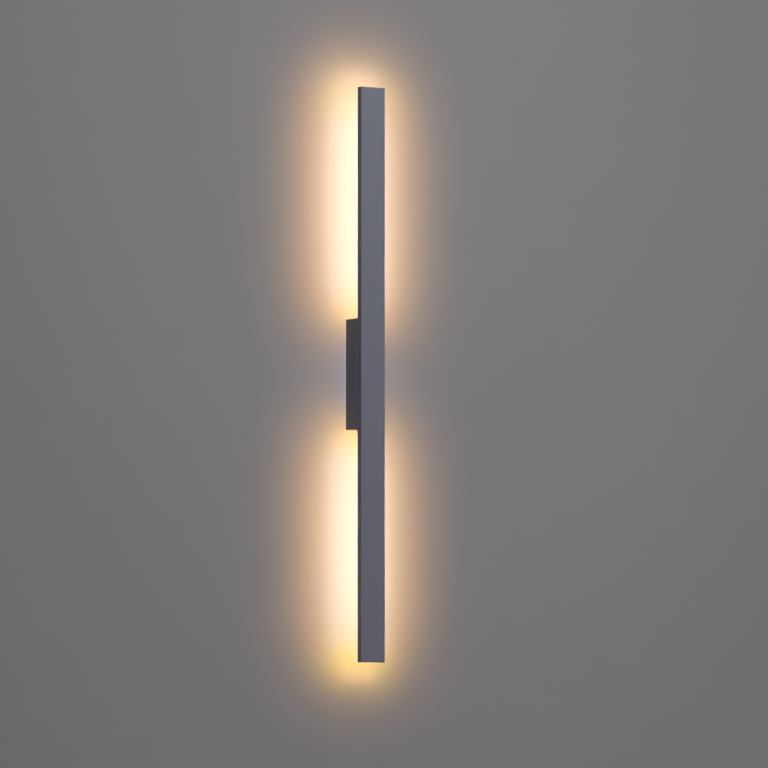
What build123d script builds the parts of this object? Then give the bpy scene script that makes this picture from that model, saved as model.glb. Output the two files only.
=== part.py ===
from build123d import *
from math import radians, tan
import os

# Wall light: a flat aluminium bar stood off the wall, lit from its wall side above and below its housing.
# Millimetres, +Z up along the bar, +Y into the wall. The origin is the centre of the wall bracket's rear
# face, so the wall is the plane Y = 0 and everything else lies at negative Y.

# ---------------------------------------------------------------- driving dimensions

# Bar
overall_length = 800.0
overall_width = 40.0
bar_depth = 9.0
arris_radius = 0.5
bar_wall = 1.6
channel_floor = 2.0
chamber_width = 5.8
chamber_web = 1.4
lip_thickness = 1.3
lip_overhang = 1.6
port_outer_radius = 2.3
port_bore_radius = 1.25
port_slit = 0.9
port_neck = 1.6
chamber_corner = 0.5

# End caps
cap_thickness = 2.5
cap_edge_radius = 1.5
cap_tongue_length = 3.0
cap_tongue_depth = 2.0
cap_screw_radius = 1.2
cap_screw_head_radius = 2.4
cap_screw_length = 9.5

# Housing
housing_height = 154.0
housing_depth = 29.0
housing_wall = 2.0
housing_inner_radius = 1.5
nut_inset = 9.0
nut_to_bush = 10.0
rim_clearance = 0.5
boss_height = 1.0
boss_radius = 4.0

# Wall bracket
bracket_thickness = 1.5
bracket_side_clearance = 0.5
bracket_end_clearance = 0.2
bracket_bend_radius = 2.0
lug_width = 22.0
lug_depth = 14.0
lug_screw_depth = 8.0
collar_radius = 2.7
collar_height = 1.2
wall_slot_width = 4.6
wall_slot_length = 10.0
wall_slot_inset = 9.8
dish_depth = 2.0
dish_flat_radius = 9.0
dish_outer_radius = 12.0
dish_lead_in = 1.0
dish_to_slot = 2.0

# Light source, from the channel's floor outwards
tape_thickness = 0.3
tape_margin = 0.5
board_width = 12.0
board_thickness = 1.2
board_end_gap = 1.5
board_start_gap = 1.5
board_corner = 1.0
chip_width = 3.5
chip_height = 2.8
chip_thickness = 0.8
chip_pitch = 7.5
connector_width = 6.0
connector_length = 8.0
connector_height = 3.4
connector_bevel = 0.5
diffuser_wall = 1.2
diffuser_recess = 0.3
diffuser_leg = 1.0
diffuser_leg_depth = 3.2
barb_overhang = 1.2
barb_depth = 1.8

# Fasteners: radius, head radius and head height of each size, and their proportions to the head
socket_share = 0.5
head_bevel_share = 0.25
countersink_angle = 90
m4_radius = 2.0
m4_head_radius = 3.5
m4_head_height = 2.6
m3_radius = 1.5
m3_head_radius = 2.7
m3_head_height = 1.9
m3_sink_radius = 2.9
nut_plate_thickness = 2.0
nut_plate_length = 12.0
nut_plate_bevel = 1.0
nut_screw_length = 6.0
bracket_screw_length = 8.0
driver_screw_length = 4.8
earth_screw_length = 3.6

# Rubber bushes
cable_bush_bore = 4.5
cable_bush_waist = 6.0
cable_bush_flange = 8.0
cable_bush_lip = 1.2
lead_bush_waist = 3.3
lead_bush_flange = 4.2
lead_bush_lip = 1.0
lead_bush_spacing = 3.2

# Driver and its leads
driver_width = 28.0
driver_wall = 1.5
driver_lid_thickness = 1.2
driver_rear_gap = 6.5
driver_to_block = 13.5
driver_to_bush = 12.0
input_spacing = 5.0
input_offset = 3.0
driver_corner_radius = 2.0
ear_offset = 8.0
ear_width = 7.0
ear_length = 6.5
ear_hole_offset = 3.4
ear_thickness = 2.0
spout_radius = 1.7
spout_length = 1.5
led_lead_radius = 0.9
mains_lead_radius = 1.1

# Terminal block
pole_count = 3
pole_pitch = 10.0
pole_width = 8.0
block_length = 17.0
block_height = 13.5
block_base_height = 6.0
block_corner = 1.0
block_to_dish = 0.5
clamp_width = 4.8
clamp_bore_radius = 1.6
clamp_length = 15.0
clamp_axis_height = 6.5
clamp_screw_spacing = 8.0
clamp_screw_radius = 1.5
clamp_screw_length = 4.2
clamp_screw_slot = 0.6
clamp_screw_slot_depth = 0.8
clamp_entry_depth = 3.0
fixing_radius = 1.25
fixing_head_radius = 2.2
fixing_head_height = 1.6

# Ring terminal on the earth lead
ring_radius = 3.8
ring_thickness = 0.8
ring_neck = 1.0
barrel_overlap = 1.0
barrel_radius = 1.9
barrel_length = 6.0

# Straight lengths of the leads where they leave a piece, and how far the LED leads pass the nut screws
lead_run_out = 4.0
lead_run_in = 3.5
earth_loop = 10.0
connector_run = 2.5
connector_bend = 4.5
lead_aside = 4.6

# Share of a lead's run that a bend may take, at its ends and between two bends
end_run_share = 0.9
inner_run_share = 0.45

# Clearances
touch_gap = 0.1
slide_gap = 0.2
loose_gap = 0.3
thread_gap = 0.05
assembly_gap = 0.6

# ---------------------------------------------------------------- places that follow from them

half_length = overall_length / 2
half_width = overall_width / 2
half_housing = housing_height / 2
bar_rear = -housing_depth
bar_front = bar_rear - bar_depth
bar_middle = (bar_front + bar_rear) / 2
profile_half = half_length - cap_thickness

floor_y = bar_front + channel_floor
lip_y = bar_rear - lip_thickness
channel_half = half_width - bar_wall - chamber_width - chamber_web
mouth_half = channel_half - lip_overhang
port_x = channel_half + chamber_web + chamber_width / 2

board_y = floor_y + tape_thickness
board_top_y = board_y + board_thickness
diffuser_y = bar_rear - diffuser_recess
diffuser_radius = mouth_half - slide_gap
diffuser_start = half_housing + loose_gap
diffuser_end = profile_half - loose_gap
board_start = half_housing + board_start_gap
board_end = profile_half - cap_tongue_length - board_end_gap
connector_y = board_top_y + connector_height / 2

housing_rear = -rim_clearance
housing_inner_y = bar_rear + housing_wall
housing_inner_half = half_housing - housing_wall
boss_y = housing_inner_y + boss_height

bracket_half = housing_inner_half - bracket_end_clearance
bracket_width = overall_width - 2 * (housing_wall + bracket_side_clearance)
wall_slot_z = bracket_half - wall_slot_inset
nut_z = housing_inner_half - nut_inset
lead_bush_z = nut_z - nut_to_bush
cable_bush_z = -(wall_slot_z - wall_slot_length / 2 - dish_outer_radius - dish_to_slot)

block_z = cable_bush_z + dish_outer_radius + block_to_dish + block_length / 2
block_top_z = block_z + block_length / 2
block_base_y = -bracket_thickness
clamp_y = block_base_y - clamp_axis_height

driver_bottom = block_top_z + driver_to_block
driver_top = lead_bush_z - driver_to_bush
driver_middle = (driver_bottom + driver_top) / 2
driver_length = driver_top - driver_bottom
driver_rear = -bracket_thickness - driver_rear_gap
case_rear = driver_rear - driver_lid_thickness
driver_lead_y = (boss_y + driver_rear) / 2


# ---------------------------------------------------------------- shapes that repeat


def pan_screw(radius, head_radius, head_height, length):
    """A pan-head screw with a hexagon socket, head down at the origin, shank along +Z."""
    with BuildPart() as screw:
        Cylinder(head_radius, head_height, align=(Align.CENTER, Align.CENTER, Align.MAX))
        chamfer(screw.edges().group_by(Axis.Z)[0], head_bevel_share * head_height)
        with BuildSketch(Plane.XY.offset(-head_height)):
            RegularPolygon(socket_share * head_radius, 6)
        extrude(amount=socket_share * head_height, mode=Mode.SUBTRACT)
        Cylinder(radius, length, align=(Align.CENTER, Align.CENTER, Align.MIN))
    return screw.part


def countersunk_screw(radius, head_radius, length):
    """A countersunk screw with a hexagon socket, its flat head at the origin, shank along +Z."""
    with BuildPart() as screw:
        Cylinder(radius, length, align=(Align.CENTER, Align.CENTER, Align.MIN))
        Cone(head_radius, radius, head_radius - radius, align=(Align.CENTER, Align.CENTER, Align.MIN))
        with BuildSketch(Plane.XY):
            RegularPolygon(socket_share * head_radius, 6)
        extrude(amount=socket_share * head_radius, mode=Mode.SUBTRACT)
    return screw.part


def bend_radii(points, corner_limits):
    """The largest bend each corner of a route has room for, or its limit where one is given."""
    corners = range(1, len(points) - 1)
    radii = []
    for corner in corners:
        before = Vector(points[corner]) - Vector(points[corner - 1])
        after = Vector(points[corner + 1]) - Vector(points[corner])
        room_before = before.length * (end_run_share if corner == corners[0] else inner_run_share)
        room_after = after.length * (end_run_share if corner == corners[-1] else inner_run_share)
        largest = min(room_before, room_after) / tan(radians(before.get_angle(after) / 2))
        radii.append(min(largest, corner_limits.get(corner, largest)))
    return radii


def lead(points, radius, corner_limits=None):
    """A lead along straight runs joined by tangent arcs."""
    radii = bend_radii(points, corner_limits or {})
    with BuildPart() as tube:
        with BuildLine() as route:
            FilletPolyline(*points, radius=radii)
        with BuildSketch(Plane(origin=route.line @ 0, z_dir=route.line % 0)):
            Circle(radius)
        sweep(path=route.line)
    length = sum(edge.length for edge in route.edges())
    print(f"lead: {length:.1f} mm, bends {[round(r, 1) for r in radii]}")
    return tube


def save(piece, name):
    """Label a finished piece and write it under its own name."""
    piece.part.label = name
    export_step(piece.part, f"parts/{name}.step")


os.makedirs("parts", exist_ok=True)

# ---------------------------------------------------------------- bar extrusion

# Closed chamber each side of an undercut channel; each chamber carries a round screw port on a short neck.
with BuildPart() as bar_profile:
    with BuildSketch(Plane.XY.offset(-profile_half)):
        with Locations((0, bar_middle)):
            RectangleRounded(overall_width, bar_depth, arris_radius)
        with Locations((0, floor_y)):
            Rectangle(2 * channel_half, lip_y - floor_y, align=(Align.CENTER, Align.MIN), mode=Mode.SUBTRACT)
        with Locations((0, lip_y)):
            Rectangle(2 * mouth_half, lip_thickness, align=(Align.CENTER, Align.MIN), mode=Mode.SUBTRACT)
        for side in (-1, 1):
            with Locations((side * port_x, bar_middle)):
                RectangleRounded(
                    chamber_width, bar_depth - 2 * bar_wall, chamber_corner, mode=Mode.SUBTRACT
                )
                Circle(port_outer_radius)
            with Locations((side * (port_x - chamber_width / 4), bar_middle)):
                Rectangle(chamber_width / 2, port_neck)
            with Locations((side * port_x, bar_middle)):
                Circle(port_bore_radius, mode=Mode.SUBTRACT)
            with Locations((side * (port_x + port_outer_radius / 2), bar_middle)):
                Rectangle(port_outer_radius + touch_gap, port_slit, mode=Mode.SUBTRACT)
    extrude(amount=2 * profile_half)
save(bar_profile, "bar_profile")

# ---------------------------------------------------------------- end caps

# A half-round lobe closes the diffuser's end, and a tongue lies on the channel's floor between its legs.
cap_tongue_half = diffuser_radius - diffuser_leg - assembly_gap
with BuildPart() as top_end_cap:
    with BuildSketch(Plane.XY.offset(profile_half)):
        with Locations((0, bar_middle)):
            RectangleRounded(overall_width, bar_depth, arris_radius)
    extrude(amount=cap_thickness)
    fillet(top_end_cap.edges().group_by(Axis.Z)[-1], cap_edge_radius)
    with BuildSketch(Plane.XY.offset(profile_half)):
        with Locations((0, diffuser_y)):
            Circle(diffuser_radius)
            Rectangle(
                2 * diffuser_radius, diffuser_radius, align=(Align.CENTER, Align.MAX), mode=Mode.SUBTRACT
            )
    extrude(amount=cap_thickness - cap_edge_radius)
    with BuildSketch(Plane.XY.offset(profile_half)):
        with Locations((0, floor_y + slide_gap)):
            Rectangle(2 * cap_tongue_half, cap_tongue_depth, align=(Align.CENTER, Align.MIN))
    extrude(amount=-cap_tongue_length)
    with Locations(*[(side * port_x, bar_middle, half_length) for side in (-1, 1)]):
        CounterSinkHole(
            cap_screw_radius + slide_gap, cap_screw_head_radius + slide_gap, cap_thickness, countersink_angle
        )
save(top_end_cap, "top_end_cap")

with BuildPart() as bottom_end_cap:
    mirror(top_end_cap.part, about=Plane.XY)
save(bottom_end_cap, "bottom_end_cap")

cap_screw = countersunk_screw(cap_screw_radius, cap_screw_head_radius, cap_screw_length)
with BuildPart() as end_cap_screws:
    for side in (-1, 1):
        with Locations(Location((side * port_x, bar_middle, half_length), (180, 0, 0))):
            add(cap_screw)
        with Locations((side * port_x, bar_middle, -half_length)):
            add(cap_screw)
save(end_cap_screws, "end_cap_screws")

# ---------------------------------------------------------------- light source

board_length = board_end - board_start
board_centre = (board_start + board_end) / 2

with BuildPart() as upper_thermal_tape:
    with Locations((0, floor_y, board_centre)):
        Box(
            board_width - 2 * tape_margin,
            tape_thickness,
            board_length - 2 * tape_margin,
            align=(Align.CENTER, Align.MIN, Align.CENTER),
        )
save(upper_thermal_tape, "upper_thermal_tape")

with BuildPart() as upper_led_board:
    with Locations((0, board_y, board_centre)):
        Box(board_width, board_thickness, board_length, align=(Align.CENTER, Align.MIN, Align.CENTER))
    fillet(upper_led_board.edges().filter_by(Axis.Y), board_corner)
save(upper_led_board, "upper_led_board")

# Chips start one pitch past the connector and stop half a pitch short of the board's end.
first_chip = board_start + connector_length + chip_pitch
chip_count = int((board_end - chip_pitch / 2 - first_chip) // chip_pitch) + 1
with BuildPart() as upper_led_chips:
    with Locations(*[(0, board_top_y, first_chip + n * chip_pitch) for n in range(chip_count)]):
        Box(chip_width, chip_thickness, chip_height, align=(Align.CENTER, Align.MIN, Align.CENTER))
save(upper_led_chips, "upper_led_chips")

with BuildPart() as upper_led_connector:
    with Locations((0, connector_y, board_start)):
        Box(
            connector_width,
            connector_height,
            connector_length,
            align=(Align.CENTER, Align.CENTER, Align.MIN),
        )
    chamfer(upper_led_connector.edges().group_by(Axis.Y)[-1].filter_by(Axis.Z), connector_bevel)
    with BuildSketch(Plane.XY.offset(board_start)):
        with Locations((0, connector_y)):
            Circle(led_lead_radius + touch_gap)
    extrude(amount=connector_length / 3, mode=Mode.SUBTRACT)
save(upper_led_connector, "upper_led_connector")

# Opal half-round cover: two sprung legs whose barbs catch under the channel's lips.
leg_middle = diffuser_radius - diffuser_leg / 2
barb_y = lip_y - slide_gap
with BuildPart() as upper_diffuser:
    with BuildSketch(Plane.XY.offset(diffuser_start)):
        with Locations((0, diffuser_y)):
            Circle(diffuser_radius)
            Circle(diffuser_radius - diffuser_wall, mode=Mode.SUBTRACT)
            Rectangle(
                2 * diffuser_radius, diffuser_radius, align=(Align.CENTER, Align.MAX), mode=Mode.SUBTRACT
            )
        for side in (-1, 1):
            with Locations((side * leg_middle, diffuser_y)):
                Rectangle(diffuser_leg, diffuser_leg_depth, align=(Align.CENTER, Align.MAX))
            with BuildLine():
                Polyline(
                    (side * leg_middle, barb_y),
                    (side * (diffuser_radius + barb_overhang), barb_y),
                    (side * leg_middle, barb_y - barb_depth),
                    close=True,
                )
            make_face()
    extrude(amount=diffuser_end - diffuser_start)
save(upper_diffuser, "upper_diffuser")

# The lower half of the light source is the upper one mirrored.
upper_light_source = {
    "thermal_tape": upper_thermal_tape,
    "led_board": upper_led_board,
    "led_chips": upper_led_chips,
    "led_connector": upper_led_connector,
    "diffuser": upper_diffuser,
}
for name, upper_piece in upper_light_source.items():
    with BuildPart() as lower_piece:
        mirror(upper_piece.part, about=Plane.XY)
    save(lower_piece, f"lower_{name}")

# ---------------------------------------------------------------- housing

driver_ears = [(ear_offset, driver_bottom - ear_hole_offset), (-ear_offset, driver_top + ear_hole_offset)]
earth_place = (0, block_z)
tapped_bosses = driver_ears + [earth_place]
nut_places = [(0, nut_z), (0, -nut_z)]

with BuildPart() as housing:
    with BuildSketch(Plane.XZ.offset(-housing_rear)):
        RectangleRounded(overall_width, housing_height, arris_radius)
    extrude(amount=housing_rear - bar_rear)
    with BuildSketch(Plane.XZ.offset(-housing_rear)):
        RectangleRounded(overall_width - 2 * housing_wall, 2 * housing_inner_half, housing_inner_radius)
    extrude(amount=housing_rear - housing_inner_y, mode=Mode.SUBTRACT)
    with BuildSketch(Plane.XZ.offset(-boss_y)):
        with Locations(*tapped_bosses):
            Circle(boss_radius)
    extrude(amount=boss_height)
    with BuildSketch(Plane.XZ.offset(-boss_y)):
        with Locations(*driver_ears):
            Circle(m3_radius)
        with Locations(earth_place):
            Circle(m4_radius)
        with Locations(*nut_places):
            Circle(m4_radius + slide_gap)
        with Locations((0, lead_bush_z)):
            Circle(lead_bush_waist + touch_gap)
    extrude(amount=boss_height + housing_wall, mode=Mode.SUBTRACT)
    for end, turn in ((half_housing, 0), (-half_housing, 180)):
        with Locations(Location((0, -lug_screw_depth, end), (turn, 0, 0))):
            CounterSinkHole(
                m3_radius + slide_gap, m3_sink_radius + touch_gap, housing_wall, countersink_angle
            )
save(housing, "housing")

# ---------------------------------------------------------------- bar to housing

with BuildPart() as nut_plates:
    with BuildSketch(Plane.XZ.offset(-lip_y)):
        with Locations(*nut_places):
            Rectangle(2 * (channel_half - loose_gap), nut_plate_length)
            Circle(m4_radius, mode=Mode.SUBTRACT)
    extrude(amount=nut_plate_thickness)
    chamfer(nut_plates.edges().filter_by(Axis.Y), nut_plate_bevel)
save(nut_plates, "nut_plates")

nut_screw = pan_screw(m4_radius - thread_gap, m4_head_radius, m4_head_height, nut_screw_length)
with BuildPart() as housing_screws:
    with Locations(*[Location((0, housing_inner_y, z), (90, 0, 0)) for x, z in nut_places]):
        add(nut_screw)
save(housing_screws, "housing_screws")

# Rubber bush with a bore for each LED lead: a flange on each face of the housing's wall.
lead_bores = [(side * lead_bush_spacing / 2, lead_bush_z) for side in (-1, 1)]
lead_bush_front = bar_rear - lead_bush_lip
lead_bush_length = housing_wall + 2 * lead_bush_lip
with BuildPart() as lead_grommet:
    with BuildSketch(Plane.XZ.offset(-lead_bush_front - lead_bush_length)):
        with Locations((0, lead_bush_z)):
            Circle(lead_bush_waist)
    extrude(amount=lead_bush_length)
    for flange_y in (lead_bush_front + lead_bush_lip, housing_inner_y + lead_bush_lip):
        with BuildSketch(Plane.XZ.offset(-flange_y)):
            with Locations((0, lead_bush_z)):
                Circle(lead_bush_flange)
        extrude(amount=lead_bush_lip)
    with BuildSketch(Plane.XZ.offset(-lead_bush_front - lead_bush_length)):
        with Locations(*lead_bores):
            Circle(led_lead_radius + touch_gap)
    extrude(amount=lead_bush_length, mode=Mode.SUBTRACT)
save(lead_grommet, "lead_grommet")

# ---------------------------------------------------------------- wall bracket

# Pressed steel: a plate with a folded lug at each end, tapped collars, wall slots and a dished cable hole.
block_fixings = [(side * pole_pitch / 2, block_z) for side in (-1, 1)]
collar_middle = bracket_half - bracket_thickness - collar_height / 2
cable_hole_radius = cable_bush_waist + touch_gap
with BuildPart() as wall_bracket:
    with BuildSketch(Plane.YZ.offset(-lug_width / 2)) as folded_side:
        Rectangle(lug_depth, 2 * bracket_half, align=(Align.MAX, Align.CENTER))
        fillet(folded_side.vertices().group_by(Axis.X)[-1], bracket_bend_radius)
        with Locations((-bracket_thickness, 0)):
            Rectangle(
                lug_depth,
                2 * (bracket_half - bracket_thickness),
                align=(Align.MAX, Align.CENTER),
                mode=Mode.SUBTRACT,
            )
    extrude(amount=lug_width)
    lug_corners = wall_bracket.edges().filter_by(Axis.Z).group_by(Axis.Y)[0]
    fillet(lug_corners, bracket_bend_radius)
    with BuildSketch(Plane.XZ):
        RectangleRounded(bracket_width, 2 * (bracket_half - bracket_bend_radius), bracket_bend_radius)
    extrude(amount=bracket_thickness)
    with Locations(*[(0, -lug_screw_depth, end * collar_middle) for end in (-1, 1)]):
        Cylinder(collar_radius, collar_height)
    with Locations((0, -lug_screw_depth, 0)):
        Cylinder(m3_radius, 2 * bracket_half, mode=Mode.SUBTRACT)
    with BuildSketch(Plane.XZ):
        with Locations((0, wall_slot_z), (0, -wall_slot_z)):
            SlotOverall(wall_slot_length, wall_slot_width, rotation=90)
        with Locations((0, cable_bush_z)):
            Circle(dish_outer_radius)
        with Locations(*block_fixings):
            Circle(fixing_radius)
    extrude(amount=bracket_thickness, mode=Mode.SUBTRACT)
    with BuildSketch(Plane.XY.offset(cable_bush_z)):
        with BuildLine():
            Polyline(
                (dish_outer_radius, 0),
                (dish_outer_radius - dish_lead_in, 0),
                (dish_flat_radius, -dish_depth),
                (cable_hole_radius, -dish_depth),
                (cable_hole_radius, -dish_depth - bracket_thickness),
                (dish_flat_radius + dish_lead_in, -dish_depth - bracket_thickness),
                (dish_outer_radius, -bracket_thickness),
                close=True,
            )
        make_face()
    revolve(axis=Axis((0, 0, cable_bush_z), (0, 1, 0)))
save(wall_bracket, "wall_bracket")

bracket_screw = countersunk_screw(m3_radius - thread_gap, m3_sink_radius, bracket_screw_length)
with BuildPart() as bracket_screws:
    with Locations(Location((0, -lug_screw_depth, half_housing), (180, 0, 0))):
        add(bracket_screw)
    with Locations((0, -lug_screw_depth, -half_housing)):
        add(bracket_screw)
save(bracket_screws, "bracket_screws")

# Rubber bush snapped into the dished hole, its rear flange clear of the wall.
bush_rear = -dish_depth + cable_bush_lip
bush_length = bracket_thickness + 2 * cable_bush_lip
with BuildPart() as cable_grommet:
    with BuildSketch(Plane.XZ.offset(-bush_rear)):
        with Locations((0, cable_bush_z)):
            Circle(cable_bush_waist)
    extrude(amount=bush_length)
    for flange_y in (bush_rear, -dish_depth - bracket_thickness):
        with BuildSketch(Plane.XZ.offset(-flange_y)):
            with Locations((0, cable_bush_z)):
                Circle(cable_bush_flange)
        extrude(amount=cable_bush_lip)
    chamfer(cable_grommet.edges().group_by(Axis.Y)[0], cable_bush_lip / 2)
    with BuildSketch(Plane.XZ.offset(-bush_rear)):
        with Locations((0, cable_bush_z)):
            Circle(cable_bush_bore)
    extrude(amount=bush_length, mode=Mode.SUBTRACT)
save(cable_grommet, "cable_grommet")

# ---------------------------------------------------------------- driver

# Each lead leaves the case through a short round spout.
ear_middles = [(ear_offset, driver_bottom - ear_length / 2), (-ear_offset, driver_top + ear_length / 2)]
neutral_spout_x, live_spout_x = (input_offset + side * input_spacing / 2 for side in (-1, 1))
input_spouts = [(x, driver_lead_y, driver_bottom - spout_length / 2) for x in (neutral_spout_x, live_spout_x)]
output_spouts = [(x, driver_lead_y, driver_top + spout_length / 2) for x, z in lead_bores]
with BuildPart() as driver_case:
    with BuildSketch(Plane.XZ.offset(-case_rear)):
        with Locations((0, driver_middle)):
            RectangleRounded(driver_width, driver_length, driver_corner_radius)
    extrude(amount=case_rear - boss_y)
    with BuildSketch(Plane.XZ.offset(-boss_y)):
        with Locations(*ear_middles):
            Rectangle(ear_width, ear_length)
        with Locations(*driver_ears):
            Circle(m3_radius + slide_gap, mode=Mode.SUBTRACT)
    extrude(amount=-ear_thickness)
    with BuildSketch(Plane.XZ.offset(-case_rear)):
        with Locations((0, driver_middle)):
            Rectangle(driver_width - 2 * driver_wall, driver_length - 2 * driver_wall)
    extrude(amount=case_rear - boss_y - driver_wall, mode=Mode.SUBTRACT)
    with Locations(*(input_spouts + output_spouts)):
        Cylinder(spout_radius, spout_length)
save(driver_case, "driver_case")

with BuildPart() as driver_potting:
    with BuildSketch(Plane.XZ.offset(-case_rear + slide_gap)):
        with Locations((0, driver_middle)):
            Rectangle(driver_width - 2 * driver_wall, driver_length - 2 * driver_wall)
    extrude(amount=case_rear - boss_y - driver_wall - slide_gap)
save(driver_potting, "driver_potting")

with BuildPart() as driver_lid:
    with BuildSketch(Plane.XZ.offset(-driver_rear)):
        with Locations((0, driver_middle)):
            RectangleRounded(driver_width, driver_length, driver_corner_radius)
    extrude(amount=driver_lid_thickness)
    chamfer(driver_lid.edges().group_by(Axis.Y)[-1], driver_lid_thickness / 2)
save(driver_lid, "driver_lid")

driver_screw = pan_screw(m3_radius - thread_gap, m3_head_radius, m3_head_height, driver_screw_length)
with BuildPart() as driver_screws:
    with Locations(*[Location((x, boss_y + ear_thickness, z), (90, 0, 0)) for x, z in driver_ears]):
        add(driver_screw)
save(driver_screws, "driver_screws")

# ---------------------------------------------------------------- terminal block

# One hump a pole on a common base. Each hump has a wire way along Z and two screw wells open to -Y.
pole_places = [(n - (pole_count - 1) / 2) * pole_pitch for n in range(pole_count)]
clamp_screw_z = [block_z + side * clamp_screw_spacing / 2 for side in (-1, 1)]
clamp_screw_places = [(x, z) for x in pole_places for z in clamp_screw_z]
with BuildPart() as terminal_block:
    with BuildSketch(Plane.XZ.offset(bracket_thickness)):
        with Locations((0, block_z)):
            RectangleRounded((pole_count - 1) * pole_pitch + pole_width, block_length, block_corner)
    extrude(amount=block_base_height)
    with BuildSketch(Plane.XZ.offset(bracket_thickness)):
        with Locations(*[(x, block_z) for x in pole_places]):
            Rectangle(pole_width, block_length)
    extrude(amount=block_height)
    with BuildSketch(Plane.XY.offset(block_z - block_length / 2)):
        with Locations(*[(x, clamp_y) for x in pole_places]):
            Rectangle(clamp_width + touch_gap, clamp_width + touch_gap)
    extrude(amount=block_length, mode=Mode.SUBTRACT)
    with BuildSketch(Plane.XZ.offset(-clamp_y)):
        with Locations(*clamp_screw_places):
            Circle(clamp_screw_radius + touch_gap)
    extrude(amount=block_height, mode=Mode.SUBTRACT)
    with BuildSketch(Plane.XZ.offset(bracket_thickness)):
        with Locations(*block_fixings):
            Circle(fixing_radius + slide_gap)
    extrude(amount=block_base_height, mode=Mode.SUBTRACT)
    with BuildSketch(Plane.XZ.offset(bracket_thickness + block_base_height)):
        with Locations(*block_fixings):
            Circle(fixing_head_radius + touch_gap)
    extrude(amount=block_height, mode=Mode.SUBTRACT)
save(terminal_block, "terminal_block")

with BuildPart() as terminal_clamps:
    with BuildSketch(Plane.XY.offset(block_z - clamp_length / 2)):
        with Locations(*[(x, clamp_y) for x in pole_places]):
            Rectangle(clamp_width, clamp_width)
            Circle(clamp_bore_radius, mode=Mode.SUBTRACT)
    extrude(amount=clamp_length)
    with BuildSketch(Plane.XZ.offset(-clamp_y)):
        with Locations(*clamp_screw_places):
            Circle(clamp_screw_radius)
    extrude(amount=clamp_width / 2, mode=Mode.SUBTRACT)
save(terminal_clamps, "terminal_clamps")

# Headless screws whose tips stand just inside the wire way, their slotted ends in the wells.
clamp_screw_end_y = clamp_y - clamp_bore_radius + slide_gap - clamp_screw_length
with BuildPart() as terminal_screws:
    with BuildSketch(Plane.XZ.offset(-clamp_screw_end_y)):
        with Locations(*clamp_screw_places):
            Circle(clamp_screw_radius - thread_gap)
    extrude(amount=-clamp_screw_length)
    with BuildSketch(Plane.XZ.offset(-clamp_screw_end_y)):
        with Locations(*clamp_screw_places):
            Rectangle(2 * clamp_screw_radius, clamp_screw_slot)
    extrude(amount=-clamp_screw_slot_depth, mode=Mode.SUBTRACT)
save(terminal_screws, "terminal_screws")

block_screw_y = -bracket_thickness - block_base_height
block_screw = pan_screw(
    fixing_radius - thread_gap, fixing_head_radius, fixing_head_height, -block_screw_y - slide_gap
)
with BuildPart() as terminal_block_screws:
    with Locations(*[Location((x, block_screw_y, z), (-90, 0, 0)) for x, z in block_fixings]):
        add(block_screw)
save(terminal_block_screws, "terminal_block_screws")

# ---------------------------------------------------------------- earth connection

# Ring terminal flat on its boss, its crimped barrel towards +Z.
barrel_bottom = block_z + ring_radius + ring_neck
neck_length = ring_radius + ring_neck + barrel_overlap
barrel_y = boss_y + barrel_radius
with BuildPart() as earth_terminal:
    with BuildSketch(Plane.XZ.offset(-boss_y)):
        with Locations(earth_place):
            Circle(ring_radius)
            Rectangle(2 * barrel_radius, neck_length, align=(Align.CENTER, Align.MIN))
            Circle(m4_radius + touch_gap, mode=Mode.SUBTRACT)
    extrude(amount=-ring_thickness)
    with Locations((0, barrel_y, barrel_bottom + barrel_length / 2)):
        Cylinder(barrel_radius, barrel_length)
        Cylinder(mains_lead_radius + touch_gap, barrel_length, mode=Mode.SUBTRACT)
save(earth_terminal, "earth_terminal")

earth_screw_blank = pan_screw(m4_radius - thread_gap, m4_head_radius, m4_head_height, earth_screw_length)
with BuildPart() as earth_screw:
    with Locations(Location((0, boss_y + ring_thickness, block_z), (90, 0, 0))):
        add(earth_screw_blank)
save(earth_screw, "earth_screw")

# ---------------------------------------------------------------- leads

clamp_entry = block_top_z - clamp_entry_depth
earth_x, neutral_x, live_x = pole_places
input_start = driver_bottom - spout_length
input_leads = [("live_lead", live_spout_x, live_x), ("neutral_lead", neutral_spout_x, neutral_x)]
for name, spout_x, pole_x in input_leads:
    input_lead = lead(
        [
            (spout_x, driver_lead_y, input_start),
            (spout_x, driver_lead_y, input_start - lead_run_out),
            (pole_x, clamp_y, block_top_z + lead_run_in),
            (pole_x, clamp_y, clamp_entry),
        ],
        mains_lead_radius,
    )
    save(input_lead, name)

barrel_top = barrel_bottom + barrel_length
earth_lead = lead(
    [
        (earth_x, clamp_y, clamp_entry),
        (earth_x, clamp_y, block_top_z + earth_loop),
        (0, barrel_y, block_top_z + earth_loop),
        (0, barrel_y, barrel_top - clamp_entry_depth),
    ],
    mains_lead_radius,
)
save(earth_lead, "earth_lead")

# Each LED lead passes through its own bore of the bush and lies on the channel's floor beside a nut screw.
output_start = driver_top + spout_length
channel_lead_y = floor_y + touch_gap + led_lead_radius
bush_bend = lead_bush_front - channel_lead_y - slide_gap
for name, side in (("upper_led_lead", 1), ("lower_led_lead", -1)):
    bore_x = side * lead_bush_spacing / 2
    led_lead = lead(
        [
            (bore_x, driver_lead_y, output_start),
            (bore_x, driver_lead_y, lead_bush_z),
            (bore_x, channel_lead_y, lead_bush_z),
            (side * lead_aside, channel_lead_y, side * (nut_z + nut_plate_length / 2)),
            (0, connector_y, side * (board_start - connector_run)),
            (0, connector_y, side * (board_start + connector_length / 4)),
        ],
        led_lead_radius,
        {2: bush_bend, 4: connector_bend},
    )
    save(led_lead, name)
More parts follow.
